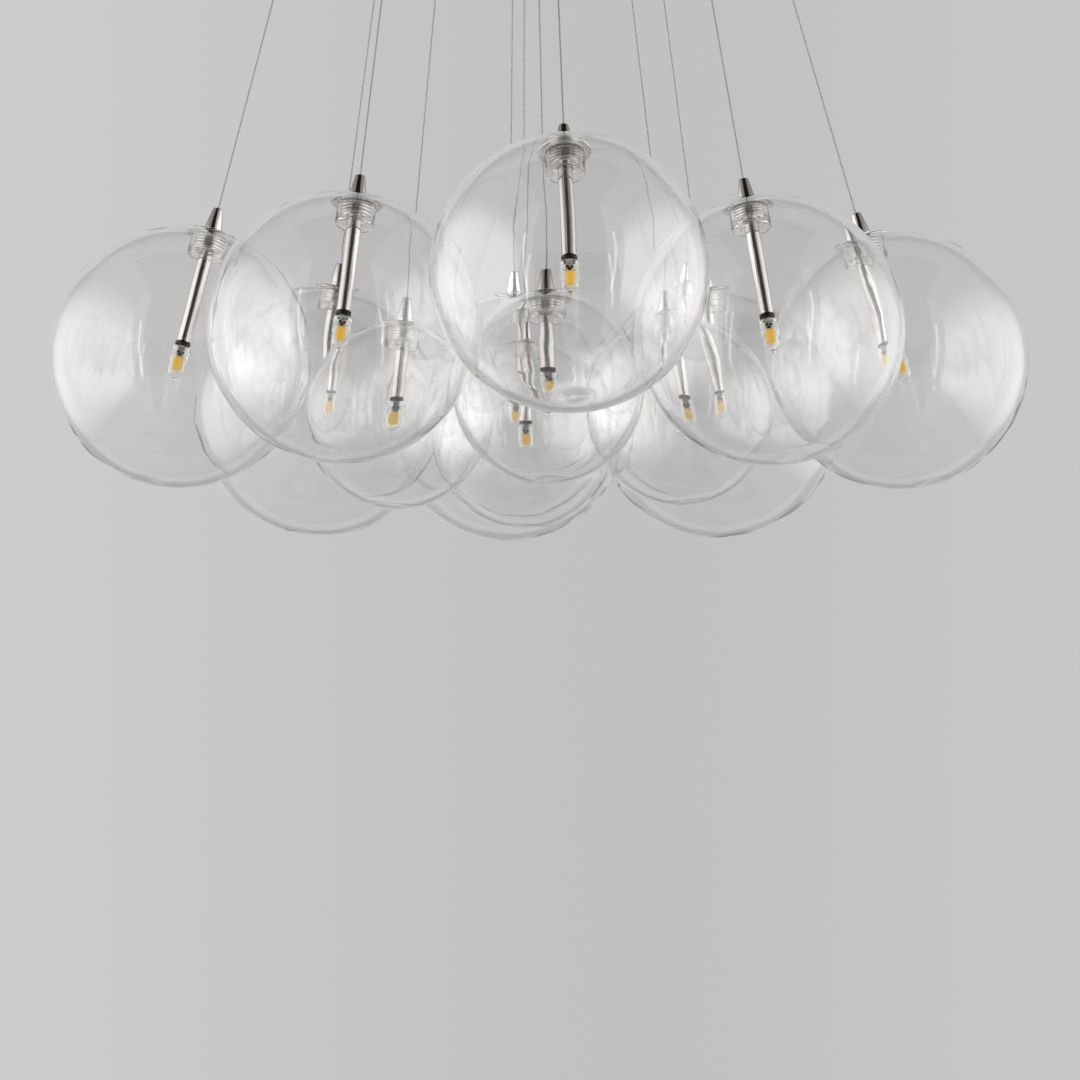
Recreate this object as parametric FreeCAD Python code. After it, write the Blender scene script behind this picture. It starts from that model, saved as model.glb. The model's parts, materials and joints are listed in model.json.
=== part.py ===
"""Cluster pendant: eight large and four small clear glass globes hung on thin steel
cables from one round ceiling canopy.

Millimetres. +Z is up, the ceiling is the plane z = 0 and the whole light hangs below it.
The front of the light faces -Y. Pendants 1 to 8 form the outer ring, 9 to 12 the inner one.
Each globe hangs on the straight line of its own cable, so every pendant is made upright
round its own axis, with the globe's centre at the origin, and is then leaned into place.
"""
import FreeCAD, Part
import math
import os

Vector = FreeCAD.Vector
UP = Vector(0, 0, 1)

# Canopy and what it hangs from
CANOPY_RADIUS = 130.0
CANOPY_HEIGHT = 50.0
CANOPY_WALL = 1.5
CANOPY_CORNER = 5.0
PLATE_RADIUS = 122.0
PLATE_THICKNESS = 2.0
PLATE_BOLTS = 3
PLATE_BOLT_CIRCLE = 140.0
PLATE_BOLT_RADIUS = 2.75
PLATE_BOLT_TURN = 30.0
SUPPLY_HOLE_RADIUS = 8.0
SUPPLY_HOLE_Y = 92.0
TAB_WIDTH = 16.0
TAB_DROP = 16.0
SIDE_SCREWS = 3
SIDE_SCREW_TURN = 60.0
SIDE_SCREW_RADIUS = 2.0
SIDE_SCREW_DROP = 10.0
SCREW_CLEARANCE = 0.25

# Rings of cable glands
OUTER_COUNT = 8
OUTER_HOLE_CIRCLE_RADIUS = 93.0
OUTER_TURN = 4.7
INNER_COUNT = 4
INNER_HOLE_CIRCLE_RADIUS = 35.0
INNER_TURN = 1.6
GLAND_LENGTH = 10.0
GLAND_RADIUS = 6.0
GLAND_TIP_RADIUS = 5.2
GLAND_SHANK_RADIUS = 4.9
GLAND_SHANK_TOP = 42.0
GLAND_BORE_RADIUS = 1.0
GLAND_BELL_RADIUS = 4.4
GLAND_BELL_DEPTH = 3.0
NUT_ACROSS_FLATS = 14.0
NUT_HEIGHT = 4.0

# Cables
CABLE_RADIUS = 0.7
OUTER_CABLE = 603.0
INNER_CABLE = 653.0
CABLE_END_GAP = 0.5

# Globes
LARGE_RADIUS = 100.0
SMALL_RADIUS = 71.5
GLASS_WALL = 2.0
GLASS_SAG = 0.6
COLLAR_BORE_RADIUS = 12.5
COLLAR_OUTER_RADIUS = 14.6
COLLAR_DEPTH = 20.0

# Stem: strain cone, flanged bush, rod and lamp socket
CONE_TIP_HEIGHT = 20.0
CONE_TIP_RADIUS = 3.8
CONE_LIP = 1.2
CONE_BASE_RADIUS = 7.5
FLANGE_RADIUS = 19.5
FLANGE_THICKNESS = 1.2
FLANGE_GAP = 0.4
BUSH_RADIUS = 12.0
BUSH_BORE_RADIUS = 10.2
BUSH_DEPTH = 14.0
BUSH_WEB = 2.5
ROD_RADIUS = 5.5
ROD_WALL = 0.8
ROD_END_LARGE = 12.0
ROD_END_SMALL = 9.5
SOCKET_LIP = 2.7
SOCKET_PLUG_LENGTH = 12.0
PIN_HOLE_RADIUS = 0.9

# Lamp capsule with two pins
LAMP_LENGTH = 28.0
LAMP_RADIUS = 6.5
LAMP_SHOULDER_RADIUS = 7.4
LAMP_SHOULDER_LENGTH = 5.0
LAMP_WALL = 0.8
LAMP_NIB_LENGTH = 2.6
LAMP_NIB_RADIUS = 1.3
LAMP_BASE = 2.2
LAMP_PIN_RADIUS = 0.35
LAMP_PIN_LENGTH = 7.5
LAMP_PIN_PITCH = 4.0
LAMP_SEAT_GAP = 0.3
BOARD_WIDTH = 7.4
BOARD_THICKNESS = 1.0
BOARD_LENGTH = 19.0
BLOCK_WIDTH = 8.4
BLOCK_THICKNESS = 6.0
BLOCK_LENGTH = 10.0
BLOCK_DROP = 11.5

# Electrics above the canopy floor
DRIVER_SIZE = (126.0, 40.0, 16.0)
DRIVER_EAR = 9.0
DRIVER_EAR_THICKNESS = 2.0
TERMINAL_SIZE = (26.0, 17.0, 13.0)
TERMINAL_Y = 62.0
CONNECTOR_SIZE = (9.0, 12.0, 14.0)
CONNECTOR_TOP = 20.0
SMALL_SCREW_RADIUS = 2.0
EARTH_SCREW_PLACE = (-34.0, 62.0)

# Where each globe's centre hangs, seen from above: number, x and y. The outer ring goes
# round from the front to the left, and so does the inner one.
OUTER_GLOBES = [
    (1, 32.0, -302.0),
    (2, -134.0, -188.5),
    (3, -264.0, -30.0),
    (4, -165.0, 168.5),
    (5, -15.0, 302.5),
    (6, 154.5, 194.0),
    (7, 288.0, 15.0),
    (8, 180.0, -165.0),
]
INNER_GLOBES = [
    (9, 17.0, -109.0),
    (10, -98.5, 3.0),
    (11, -2.0, 111.0),
    (12, 119.5, -1.0),
]

UNDERSIDE = -CANOPY_HEIGHT
FLOOR_TOP = UNDERSIDE + CANOPY_WALL
GLAND_MOUTH = UNDERSIDE - GLAND_LENGTH
PIVOT = GLAND_MOUTH + GLAND_BELL_DEPTH - CABLE_END_GAP


def line(a, b):
    return Part.LineSegment(Vector(a[0], 0, a[1]), Vector(b[0], 0, b[1])).toShape()


def arc(a, middle, b):
    points = [Vector(p[0], 0, p[1]) for p in (a, middle, b)]
    return Part.Arc(*points).toShape()


def revolved(edges):
    """Closed solid turned round the Z axis from edges in the XZ plane."""
    face = Part.Face(Part.Wire(edges))
    return face.revolve(Vector(0, 0, 0), UP, 360)


def turned(points):
    """Closed solid turned round the Z axis from corner points (radius, z)."""
    closed = points + points[:1]
    return revolved([line(a, b) for a, b in zip(closed, closed[1:])])


def rod_between(radius, low, high, x=0.0, y=0.0):
    return Part.makeCylinder(radius, high - low, Vector(x, y, low))


def block(size, centre_x, centre_y, low):
    return Part.makeBox(*size, Vector(centre_x - size[0] / 2, centre_y - size[1] / 2, low))


def polar(radius, degrees):
    angle = math.radians(degrees)
    return radius * math.cos(angle), radius * math.sin(angle)


def on_sphere(radius, r, centre=0.0, side=1):
    """Height of a sphere's surface at distance r from the Z axis."""
    return centre + side * math.sqrt(radius * radius - r * r)


def export(node, shape):
    solids = shape.Solids
    assert solids and all(s.isValid() and s.Volume > 0 for s in solids), node
    shape.exportStep(f"parts/{node}.step")


# ---------------------------------------------------------------- places of the pendants

def gland_places():
    """Pendant number to the place of its gland on the canopy."""
    places = {}
    for index in range(OUTER_COUNT):
        degrees = OUTER_TURN - 90 - 45 * index
        places[index + 1] = polar(OUTER_HOLE_CIRCLE_RADIUS, degrees)
    for index in range(INNER_COUNT):
        degrees = INNER_TURN - 90 - 90 * index
        places[OUTER_COUNT + index + 1] = polar(INNER_HOLE_CIRCLE_RADIUS, degrees)
    return places


GLANDS = gland_places()


class Pendant:
    """One hanging globe: its sizes, the cable's two ends and the globe's centre."""

    def __init__(self, number, x, y, large):
        self.number = number
        self.radius = LARGE_RADIUS if large else SMALL_RADIUS
        self.rod_end = ROD_END_LARGE if large else ROD_END_SMALL
        self.cable = OUTER_CABLE if large else INNER_CABLE
        self.top = Vector(*GLANDS[number], PIVOT)
        hang = self.cable + CONE_TIP_HEIGHT + self.radius
        reach = math.hypot(x - self.top.x, y - self.top.y)
        self.centre = Vector(x, y, PIVOT - math.sqrt(hang ** 2 - reach ** 2))
        self.up = (self.top - self.centre).normalize()

    def placed(self, shape):
        """The upright shape, leaned onto the cable's line with its origin at the globe's centre."""
        shape = shape.copy()
        shape.Placement = FreeCAD.Placement(self.centre, FreeCAD.Rotation(UP, self.up))
        return shape


PENDANTS = [Pendant(n, x, y, True) for n, x, y in OUTER_GLOBES]
PENDANTS += [Pendant(n, x, y, False) for n, x, y in INNER_GLOBES]


# ---------------------------------------------------------------- pieces of one pendant

def globe(radius):
    """Blown globe whose neck turns inwards as a collar; the wall thickens towards the bottom."""
    inner = radius - GLASS_WALL
    neck = on_sphere(radius, COLLAR_BORE_RADIUS)
    root = on_sphere(inner, COLLAR_OUTER_RADIUS, GLASS_SAG)
    collar_end = radius - COLLAR_DEPTH
    inner_bottom = GLASS_SAG - inner
    return revolved([
        arc((0, -radius), (radius, 0), (COLLAR_BORE_RADIUS, neck)),
        line((COLLAR_BORE_RADIUS, neck), (COLLAR_BORE_RADIUS, collar_end)),
        line((COLLAR_BORE_RADIUS, collar_end), (COLLAR_OUTER_RADIUS, collar_end)),
        line((COLLAR_OUTER_RADIUS, collar_end), (COLLAR_OUTER_RADIUS, root)),
        arc((COLLAR_OUTER_RADIUS, root), (inner, GLASS_SAG), (0, inner_bottom)),
        line((0, inner_bottom), (0, -radius)),
    ])


def flange_bush(radius):
    """Domed disc that sits over the globe's neck, with a hollow bush down inside the collar."""
    under = radius + FLANGE_GAP
    top = under + FLANGE_THICKNESS
    seat = on_sphere(top, CONE_BASE_RADIUS)
    web = radius - BUSH_WEB
    foot = radius - BUSH_DEPTH
    middle = (BUSH_RADIUS + FLANGE_RADIUS) / 2
    bush_root = (BUSH_RADIUS, on_sphere(under, BUSH_RADIUS))
    rim_under = (FLANGE_RADIUS, on_sphere(under, FLANGE_RADIUS))
    rim_top = (FLANGE_RADIUS, on_sphere(top, FLANGE_RADIUS))
    return revolved([
        line((ROD_RADIUS, web), (BUSH_BORE_RADIUS, web)),
        line((BUSH_BORE_RADIUS, web), (BUSH_BORE_RADIUS, foot)),
        line((BUSH_BORE_RADIUS, foot), (BUSH_RADIUS, foot)),
        line((BUSH_RADIUS, foot), bush_root),
        arc(bush_root, (middle, on_sphere(under, middle)), rim_under),
        line(rim_under, rim_top),
        arc(rim_top, (middle, on_sphere(top, middle)), (CONE_BASE_RADIUS, seat)),
        line((CONE_BASE_RADIUS, seat), (ROD_RADIUS, seat)),
        line((ROD_RADIUS, seat), (ROD_RADIUS, web)),
    ])


def stem(radius, rod_end):
    """Strain cone, flanged bush, rod and socket: what the cable carries the globe and lamp by."""
    seat = on_sphere(radius + FLANGE_GAP + FLANGE_THICKNESS, CONE_BASE_RADIUS)
    tip = radius + CONE_TIP_HEIGHT
    cone = turned([
        (0, seat),
        (CONE_BASE_RADIUS, seat),
        (CONE_BASE_RADIUS, seat + CONE_LIP),
        (CONE_TIP_RADIUS, tip - CONE_LIP),
        (CONE_TIP_RADIUS - 0.6, tip),
        (0, tip),
    ])
    bore = ROD_RADIUS - ROD_WALL
    rod = rod_between(ROD_RADIUS, rod_end, seat).cut(rod_between(bore, rod_end, seat))
    socket = turned([
        (0, rod_end - SOCKET_LIP),
        (ROD_RADIUS, rod_end - SOCKET_LIP),
        (ROD_RADIUS, rod_end),
        (bore, rod_end),
        (bore, rod_end + SOCKET_PLUG_LENGTH),
        (0, rod_end + SOCKET_PLUG_LENGTH),
    ])
    for side in (-0.5, 0.5):
        low = rod_end - SOCKET_LIP
        hole = rod_between(PIN_HOLE_RADIUS, low, low + LAMP_PIN_LENGTH + 1, side * LAMP_PIN_PITCH)
        socket = socket.cut(hole)
    return Part.Compound([cone, flange_bush(radius), rod, socket])


def lamp(rod_end):
    """Clear capsule on a base with two pins, holding a board and its glowing block."""
    top = rod_end - SOCKET_LIP - LAMP_SEAT_GAP
    base_low = top - LAMP_BASE
    shoulder_low = top - LAMP_SHOULDER_LENGTH
    dome = top - LAMP_LENGTH + LAMP_NIB_LENGTH + LAMP_RADIUS
    nib = top - LAMP_LENGTH
    nib_root = dome - on_sphere(LAMP_RADIUS, LAMP_NIB_RADIUS)
    bend = LAMP_RADIUS * math.sqrt(0.5)
    inner = LAMP_RADIUS - LAMP_WALL
    inner_bend = inner * math.sqrt(0.5)
    shoulder = LAMP_SHOULDER_RADIUS
    capsule = revolved([
        line((0, nib), (LAMP_NIB_RADIUS, nib)),
        line((LAMP_NIB_RADIUS, nib), (LAMP_NIB_RADIUS, nib_root)),
        arc((LAMP_NIB_RADIUS, nib_root), (bend, dome - bend), (LAMP_RADIUS, dome)),
        line((LAMP_RADIUS, dome), (LAMP_RADIUS, shoulder_low)),
        line((LAMP_RADIUS, shoulder_low), (shoulder, shoulder_low + 1)),
        line((shoulder, shoulder_low + 1), (shoulder, base_low)),
        line((shoulder, base_low), (inner, base_low)),
        line((inner, base_low), (inner, dome)),
        arc((inner, dome), (inner_bend, dome - inner_bend), (0, dome - inner)),
        line((0, dome - inner), (0, nib)),
    ])
    base = rod_between(ROD_RADIUS, base_low, top)
    board_size = (BOARD_WIDTH, BOARD_THICKNESS, BOARD_LENGTH)
    board = block(board_size, 0, 0, base_low - BOARD_LENGTH)
    block_low = base_low - BLOCK_DROP - BLOCK_LENGTH / 2
    glow = block((BLOCK_WIDTH, BLOCK_THICKNESS, BLOCK_LENGTH), 0, 0, block_low)
    glow = glow.common(rod_between(inner - 0.3, block_low, block_low + BLOCK_LENGTH))
    glow = glow.cut(board)
    pins = [
        rod_between(LAMP_PIN_RADIUS, top, top + LAMP_PIN_LENGTH, side * LAMP_PIN_PITCH)
        for side in (-0.5, 0.5)
    ]
    return Part.Compound([capsule, base, board] + glow.Solids + pins)


def cable(radius, length):
    return rod_between(CABLE_RADIUS, radius + CONE_TIP_HEIGHT, radius + CONE_TIP_HEIGHT + length)


# ---------------------------------------------------------------- canopy and electrics

def side_screw_line(degrees, radius, inner, outer):
    """Radial cylinder through the canopy's side at the height of its side screws."""
    start = Vector(*polar(inner, degrees), -SIDE_SCREW_DROP)
    return Part.makeCylinder(radius, outer - inner, start, Vector(*polar(1, degrees), 0))


def side_screw_angles():
    return [SIDE_SCREW_TURN + 360 / SIDE_SCREWS * index for index in range(SIDE_SCREWS)]


def canopy_cup():
    outer = CANOPY_RADIUS
    inner = outer - CANOPY_WALL
    bend = CANOPY_CORNER
    inner_bend = CANOPY_CORNER - CANOPY_WALL
    mid = 1 - math.sqrt(0.5)
    cup = revolved([
        line((0, UNDERSIDE), (outer - bend, UNDERSIDE)),
        arc((outer - bend, UNDERSIDE),
            (outer - bend * mid, UNDERSIDE + bend * mid),
            (outer, UNDERSIDE + bend)),
        line((outer, UNDERSIDE + bend), (outer, 0)),
        line((outer, 0), (inner, 0)),
        line((inner, 0), (inner, UNDERSIDE + bend)),
        arc((inner, UNDERSIDE + bend),
            (inner - inner_bend * mid, FLOOR_TOP + inner_bend * mid),
            (inner - inner_bend, FLOOR_TOP)),
        line((inner - inner_bend, FLOOR_TOP), (0, FLOOR_TOP)),
        line((0, FLOOR_TOP), (0, UNDERSIDE)),
    ])
    for x, y in GLANDS.values():
        hole = rod_between(GLAND_SHANK_RADIUS + SCREW_CLEARANCE, UNDERSIDE - 1, FLOOR_TOP + 1, x, y)
        cup = cup.cut(hole)
    for degrees in side_screw_angles():
        hole_radius = SIDE_SCREW_RADIUS + SCREW_CLEARANCE
        cup = cup.cut(side_screw_line(degrees, hole_radius, inner - 2, outer + 2))
    return cup


def ceiling_plate():
    """Round steel plate screwed to the ceiling, with tabs that the canopy's side screws enter."""
    plate = rod_between(PLATE_RADIUS, -PLATE_THICKNESS, 0)
    tab_outer = CANOPY_RADIUS - CANOPY_WALL - 1
    for degrees in side_screw_angles():
        ear = Part.makeBox(tab_outer - 100, TAB_WIDTH, PLATE_THICKNESS,
                           Vector(100, -TAB_WIDTH / 2, -PLATE_THICKNESS))
        drop = Part.makeBox(PLATE_THICKNESS, TAB_WIDTH, TAB_DROP,
                            Vector(tab_outer - PLATE_THICKNESS, -TAB_WIDTH / 2, -TAB_DROP))
        tab = ear.fuse(drop)
        tab.rotate(Vector(0, 0, 0), UP, degrees)
        plate = plate.fuse(tab)
        hole_radius = SIDE_SCREW_RADIUS + SCREW_CLEARANCE
        plate = plate.cut(side_screw_line(degrees, hole_radius, tab_outer - 6, tab_outer + 2))
    for index in range(PLATE_BOLTS):
        x, y = polar(PLATE_BOLT_CIRCLE / 2, PLATE_BOLT_TURN + 360 / PLATE_BOLTS * index)
        plate = plate.cut(rod_between(PLATE_BOLT_RADIUS, -3, 1, x, y))
    plate = plate.cut(rod_between(SUPPLY_HOLE_RADIUS, -3, 1, 0, SUPPLY_HOLE_Y))
    return plate.removeSplitter()


def side_screws():
    screws = []
    for degrees in side_screw_angles():
        shank = side_screw_line(degrees, SIDE_SCREW_RADIUS, CANOPY_RADIUS - 9, CANOPY_RADIUS)
        head = side_screw_line(degrees, 2 * SIDE_SCREW_RADIUS, CANOPY_RADIUS, CANOPY_RADIUS + 2.4)
        screws.append(shank.fuse(head))
    return Part.Compound(screws)


def cable_gland(x, y):
    """Turned nipple under the canopy, with a bell mouth in which the cable may swing."""
    floor = GLAND_MOUTH + GLAND_BELL_DEPTH
    gland = turned([
        (GLAND_BORE_RADIUS, floor),
        (GLAND_BELL_RADIUS, GLAND_MOUTH),
        (GLAND_TIP_RADIUS, GLAND_MOUTH),
        (GLAND_RADIUS, GLAND_MOUTH + 2),
        (GLAND_RADIUS, UNDERSIDE),
        (GLAND_SHANK_RADIUS, UNDERSIDE),
        (GLAND_SHANK_RADIUS, -GLAND_SHANK_TOP),
        (GLAND_BORE_RADIUS, -GLAND_SHANK_TOP),
    ])
    gland.translate(Vector(x, y, 0))
    return gland


def gland_nut(x, y):
    corner = NUT_ACROSS_FLATS / math.sqrt(3)
    corners = [Vector(*polar(corner, 60 * k), FLOOR_TOP) for k in range(7)]
    nut = Part.Face(Part.makePolygon(corners)).extrude(Vector(0, 0, NUT_HEIGHT))
    nut = nut.cut(rod_between(GLAND_SHANK_RADIUS + 0.05, FLOOR_TOP - 1, FLOOR_TOP + NUT_HEIGHT + 1))
    nut.translate(Vector(x, y, 0))
    return nut


def lead_tail(x, y):
    """Upper end of a cable, from just above its pivot to its connector."""
    low = GLAND_MOUTH + GLAND_BELL_DEPTH + CABLE_END_GAP
    return rod_between(CABLE_RADIUS, low, -CONNECTOR_TOP - CONNECTOR_SIZE[2], x, y)


def lead_connector(x, y):
    body = block(CONNECTOR_SIZE, x, y, -CONNECTOR_TOP - CONNECTOR_SIZE[2])
    slot = block((5.0, 3.0, 4.0), x, y, -CONNECTOR_TOP - 4.0)
    return body.cut(slot)


def driver_places():
    reach = DRIVER_SIZE[0] / 2 + DRIVER_EAR / 2
    return [(-reach, 0.0), (reach, 0.0)]


def led_driver():
    """Low-voltage supply, with an ear at each end screwed up against the plate."""
    top = -PLATE_THICKNESS
    body = block(DRIVER_SIZE, 0, 0, top - DRIVER_SIZE[2])
    rounded = [e for e in body.Edges if abs(e.Length - DRIVER_SIZE[2]) < 0.1]
    body = body.makeFillet(3.0, rounded)
    ears = block((DRIVER_SIZE[0] + 2 * DRIVER_EAR, 18, DRIVER_EAR_THICKNESS),
                 0, 0, top - DRIVER_EAR_THICKNESS)
    body = body.fuse(ears)
    for x, y in driver_places():
        body = body.cut(rod_between(SMALL_SCREW_RADIUS + SCREW_CLEARANCE, top - 5, top + 1, x, y))
    return body.removeSplitter()


def mains_terminal():
    top = -PLATE_THICKNESS
    body = block(TERMINAL_SIZE, 0, TERMINAL_Y, top - TERMINAL_SIZE[2])
    for index in (-1, 0, 1):
        entry = Part.makeCylinder(2.2, 6, Vector(index * 7.5, TERMINAL_Y + TERMINAL_SIZE[1] / 2 - 6,
                                                 top - TERMINAL_SIZE[2] / 2), Vector(0, 1, 0))
        body = body.cut(entry)
    return body


def pan_screw(x, y, seat):
    """Small screw whose head bears upwards on the height called seat."""
    head = rod_between(2 * SMALL_SCREW_RADIUS, seat - 2, seat, x, y)
    return head.fuse(rod_between(SMALL_SCREW_RADIUS, seat, -PLATE_THICKNESS, x, y))


def driver_screws():
    seat = -PLATE_THICKNESS - DRIVER_EAR_THICKNESS
    return Part.Compound([pan_screw(x, y, seat) for x, y in driver_places()])


def earth_screw():
    x, y = EARTH_SCREW_PLACE
    ring = rod_between(4.6, -PLATE_THICKNESS - 1, -PLATE_THICKNESS, x, y)
    head = rod_between(4.0, -PLATE_THICKNESS - 3.4, -PLATE_THICKNESS - 1, x, y)
    return Part.Compound([ring, head])


def at_every_gland(make):
    return Part.Compound([make(x, y) for x, y in GLANDS.values()])


# ---------------------------------------------------------------- room between the pendants

def least_room():
    """Prints the least gap between two globes, and between a cable and another globe."""
    for i, a in enumerate(PENDANTS):
        gaps = [(a.centre.distanceToPoint(b.centre) - a.radius - b.radius, b.number)
                for b in PENDANTS if b is not a]
        line_gaps = []
        for b in PENDANTS:
            if b is not a:
                past = (a.centre - b.centre).cross(b.up).Length
                line_gaps.append((past - a.radius, b.number))
        print("globe", a.number, "centre", [round(v, 1) for v in a.centre],
              "gap %.2f to globe %d," % min(gaps), "%.1f to cable %d" % min(line_gaps))


def main():
    os.makedirs("parts", exist_ok=True)
    pieces = {
        large: (globe(r), stem(r, end), lamp(end), cable(r, length))
        for large, r, end, length in (
            (True, LARGE_RADIUS, ROD_END_LARGE, OUTER_CABLE),
            (False, SMALL_RADIUS, ROD_END_SMALL, INNER_CABLE),
        )
    }
    for pendant in PENDANTS:
        shapes = pieces[pendant.radius == LARGE_RADIUS]
        for name, shape in zip(("globe", "stem", "lamp", "cable"), shapes):
            export(f"{name}_{pendant.number}", pendant.placed(shape))
    export("canopy_cup", canopy_cup())
    export("ceiling_plate", ceiling_plate())
    export("side_screws", side_screws())
    export("cable_glands", at_every_gland(cable_gland))
    export("gland_nuts", at_every_gland(gland_nut))
    export("lead_tails", at_every_gland(lead_tail))
    export("lead_connectors", at_every_gland(lead_connector))
    export("led_driver", led_driver())
    export("driver_screws", driver_screws())
    export("mains_terminal", mains_terminal())
    export("earth_screw", earth_screw())
    least_room()
    for name, shape, radius, length in (
        ("large", pieces[True][3], CABLE_RADIUS, OUTER_CABLE),
        ("small", pieces[False][3], CABLE_RADIUS, INNER_CABLE),
    ):
        ratio = shape.Volume / (math.pi * radius ** 2 * length)
        print(name, "cable: straight, no bends, volume over section times length %.4f" % ratio)


main()
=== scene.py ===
"""Cluster pendant: twelve clear blown globes on thin steel cables under a round canopy.

Metres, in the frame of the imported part: +Z is up, the ceiling is z = 0, -Y is the front.
Every pendant is modelled upright with its globe's centre at the origin, and its mesh is then
leaned onto the line of its own cable.
"""
import json
import math

import bmesh
import bpy
from bpy.props import FloatProperty, FloatVectorProperty, IntProperty, PointerProperty
from mathutils import Matrix, Vector, noise

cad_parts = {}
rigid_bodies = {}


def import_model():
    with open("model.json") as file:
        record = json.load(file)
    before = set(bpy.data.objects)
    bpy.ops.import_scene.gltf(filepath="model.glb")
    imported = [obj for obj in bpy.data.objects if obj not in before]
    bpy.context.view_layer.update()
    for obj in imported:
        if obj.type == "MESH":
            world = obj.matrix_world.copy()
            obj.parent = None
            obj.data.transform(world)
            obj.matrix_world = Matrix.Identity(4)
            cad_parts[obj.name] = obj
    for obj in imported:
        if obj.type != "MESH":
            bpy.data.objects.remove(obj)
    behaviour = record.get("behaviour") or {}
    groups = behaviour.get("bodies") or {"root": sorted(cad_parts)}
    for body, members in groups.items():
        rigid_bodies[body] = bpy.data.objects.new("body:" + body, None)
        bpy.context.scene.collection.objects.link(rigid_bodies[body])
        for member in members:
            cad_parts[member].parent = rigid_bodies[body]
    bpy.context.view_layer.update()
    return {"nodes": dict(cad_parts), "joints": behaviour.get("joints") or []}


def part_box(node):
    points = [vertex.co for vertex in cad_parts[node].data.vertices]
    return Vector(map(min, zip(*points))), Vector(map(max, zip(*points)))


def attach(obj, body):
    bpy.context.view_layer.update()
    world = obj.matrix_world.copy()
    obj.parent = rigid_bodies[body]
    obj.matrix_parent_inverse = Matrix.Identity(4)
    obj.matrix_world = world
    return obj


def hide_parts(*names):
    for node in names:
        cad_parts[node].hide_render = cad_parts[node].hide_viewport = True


bl_info = {
    "name": "Glass globe cluster pendant",
    "version": (1, 0, 0),
    "blender": (4, 5, 0),
    "location": "View3D > Sidebar > Pendant",
    "description": "Builds the globes, stems, lamps, cables and canopy of a cluster pendant",
    "category": "Add Mesh",
}

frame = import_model()
MM = 0.001
LARGE_GLOBE_BOX = 0.17


# ---------------------------------------------------------------- sizes and colours

def length(name, description, millimetres):
    return FloatProperty(name=name, description=description, default=millimetres * MM,
                         subtype="DISTANCE", unit="LENGTH", precision=5)


class GlobeSizes(bpy.types.PropertyGroup):
    large_radius: length("Large radius", "Outer radius of an outer-ring globe", 100.0)
    small_radius: length("Small radius", "Outer radius of an inner-ring globe", 71.5)
    wall: length("Wall", "Thickness of the glass at its mean", 2.0)
    sag: length("Sag", "How far the inner surface sits above the outer one", 0.6)
    bore: length("Collar bore", "Inner radius of the collar", 12.5)
    collar: length("Collar radius", "Outer radius of the collar", 14.4)
    collar_depth: length("Collar depth", "How far the collar goes into the globe", 20.0)
    thread: length("Thread height", "Height of a thread on the collar's foot", 0.45)
    thread_end: length("Thread end", "Where the threads end above the collar's foot", 6.2)
    lip: length("Lip", "Radius of the neck's fire-polished lip", 0.9)
    unevenness: length("Unevenness", "How much the inner surface strays", 0.16)
    gather: length("Gather", "Height of the thick spot at the bottom", 0.9)
    gather_radius: length("Gather radius", "Radius of the thick spot at the bottom", 9.0)
    steps: IntProperty(name="Steps", description="Segments round a globe", default=144, min=24)


class StemSizes(bpy.types.PropertyGroup):
    tip: length("Tip height", "Cone tip above the globe's top", 20.0)
    tip_radius: length("Tip radius", "Radius of the cone's tip", 4.1)
    cone_radius: length("Cone radius", "Radius of the cone's base", 7.5)
    flange: length("Flange radius", "Radius of the domed disc", 19.5)
    flange_gap: length("Flange gap", "Gap between the disc and the glass", 0.4)
    flange_wall: length("Flange thickness", "Thickness of the domed disc", 1.2)
    bush: length("Bush radius", "Outer radius of the bush over its threads", 12.0)
    thread: length("Thread", "Height of the bush's threads", 1.6)
    web: length("Web", "From the bush's foot to the web that closes it", 1.2)
    bush_bore: length("Bush bore", "Inner radius of the hollow bush", 9.2)
    bush_depth: length("Bush depth", "How far the bush goes into the collar", 14.0)
    rod: length("Rod radius", "Outer radius of the rod", 5.5)
    rod_wall: length("Rod wall", "Wall of the rod", 0.8)
    rod_end_large: length("Rod end, large", "Rod's end above a large globe's centre", 12.0)
    rod_end_small: length("Rod end, small", "Rod's end above a small globe's centre", 9.5)
    socket_lip: length("Socket lip", "Height of the black ring at the rod's end", 2.7)
    socket_ring: length("Socket ring", "How far the black ring stands out from the rod", 0.35)


class LampSizes(bpy.types.PropertyGroup):
    total: length("Length", "Capsule's length outside the socket", 28.0)
    radius: length("Radius", "Capsule's radius", 6.5)
    shoulder: length("Shoulder radius", "Capsule's radius at its base", 7.4)
    wall: length("Wall", "Wall of the capsule", 0.8)
    nib: length("Nib length", "Length of the nib at the capsule's end", 2.6)
    nib_radius: length("Nib radius", "Radius of the nib", 1.3)
    base: length("Base", "Height of the base that carries the pins", 2.2)
    base_radius: length("Base radius", "Radius of the base that carries the pins", 2.8)
    pin: length("Pin radius", "Radius of a pin", 0.35)
    pin_length: length("Pin length", "Length of a pin", 7.5)
    pin_pitch: length("Pin pitch", "Distance between the pins", 4.0)
    seat_gap: length("Seat gap", "Gap between the lamp and its socket", 0.3)
    board_width: length("Board width", "Width of the circuit board", 5.2)
    board_length: length("Board length", "Length of the circuit board", 14.5)
    block_width: length("Block width", "Width of the amber block", 7.2)
    block_depth: length("Block depth", "Depth of the amber block", 5.4)
    block_length: length("Block length", "Length of the amber block", 10.0)
    block_drop: length("Block drop", "From the base to the block's middle", 11.5)


class CableSizes(bpy.types.PropertyGroup):
    radius: length("Radius", "Radius of a cable", 0.7)
    outer: length("Outer length", "Free length of an outer cable", 603.0)
    inner: length("Inner length", "Free length of an inner cable", 653.0)
    strand_pitch: length("Strand pitch", "Lay of the strands, drawn coarse to show", 2.4)


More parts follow.
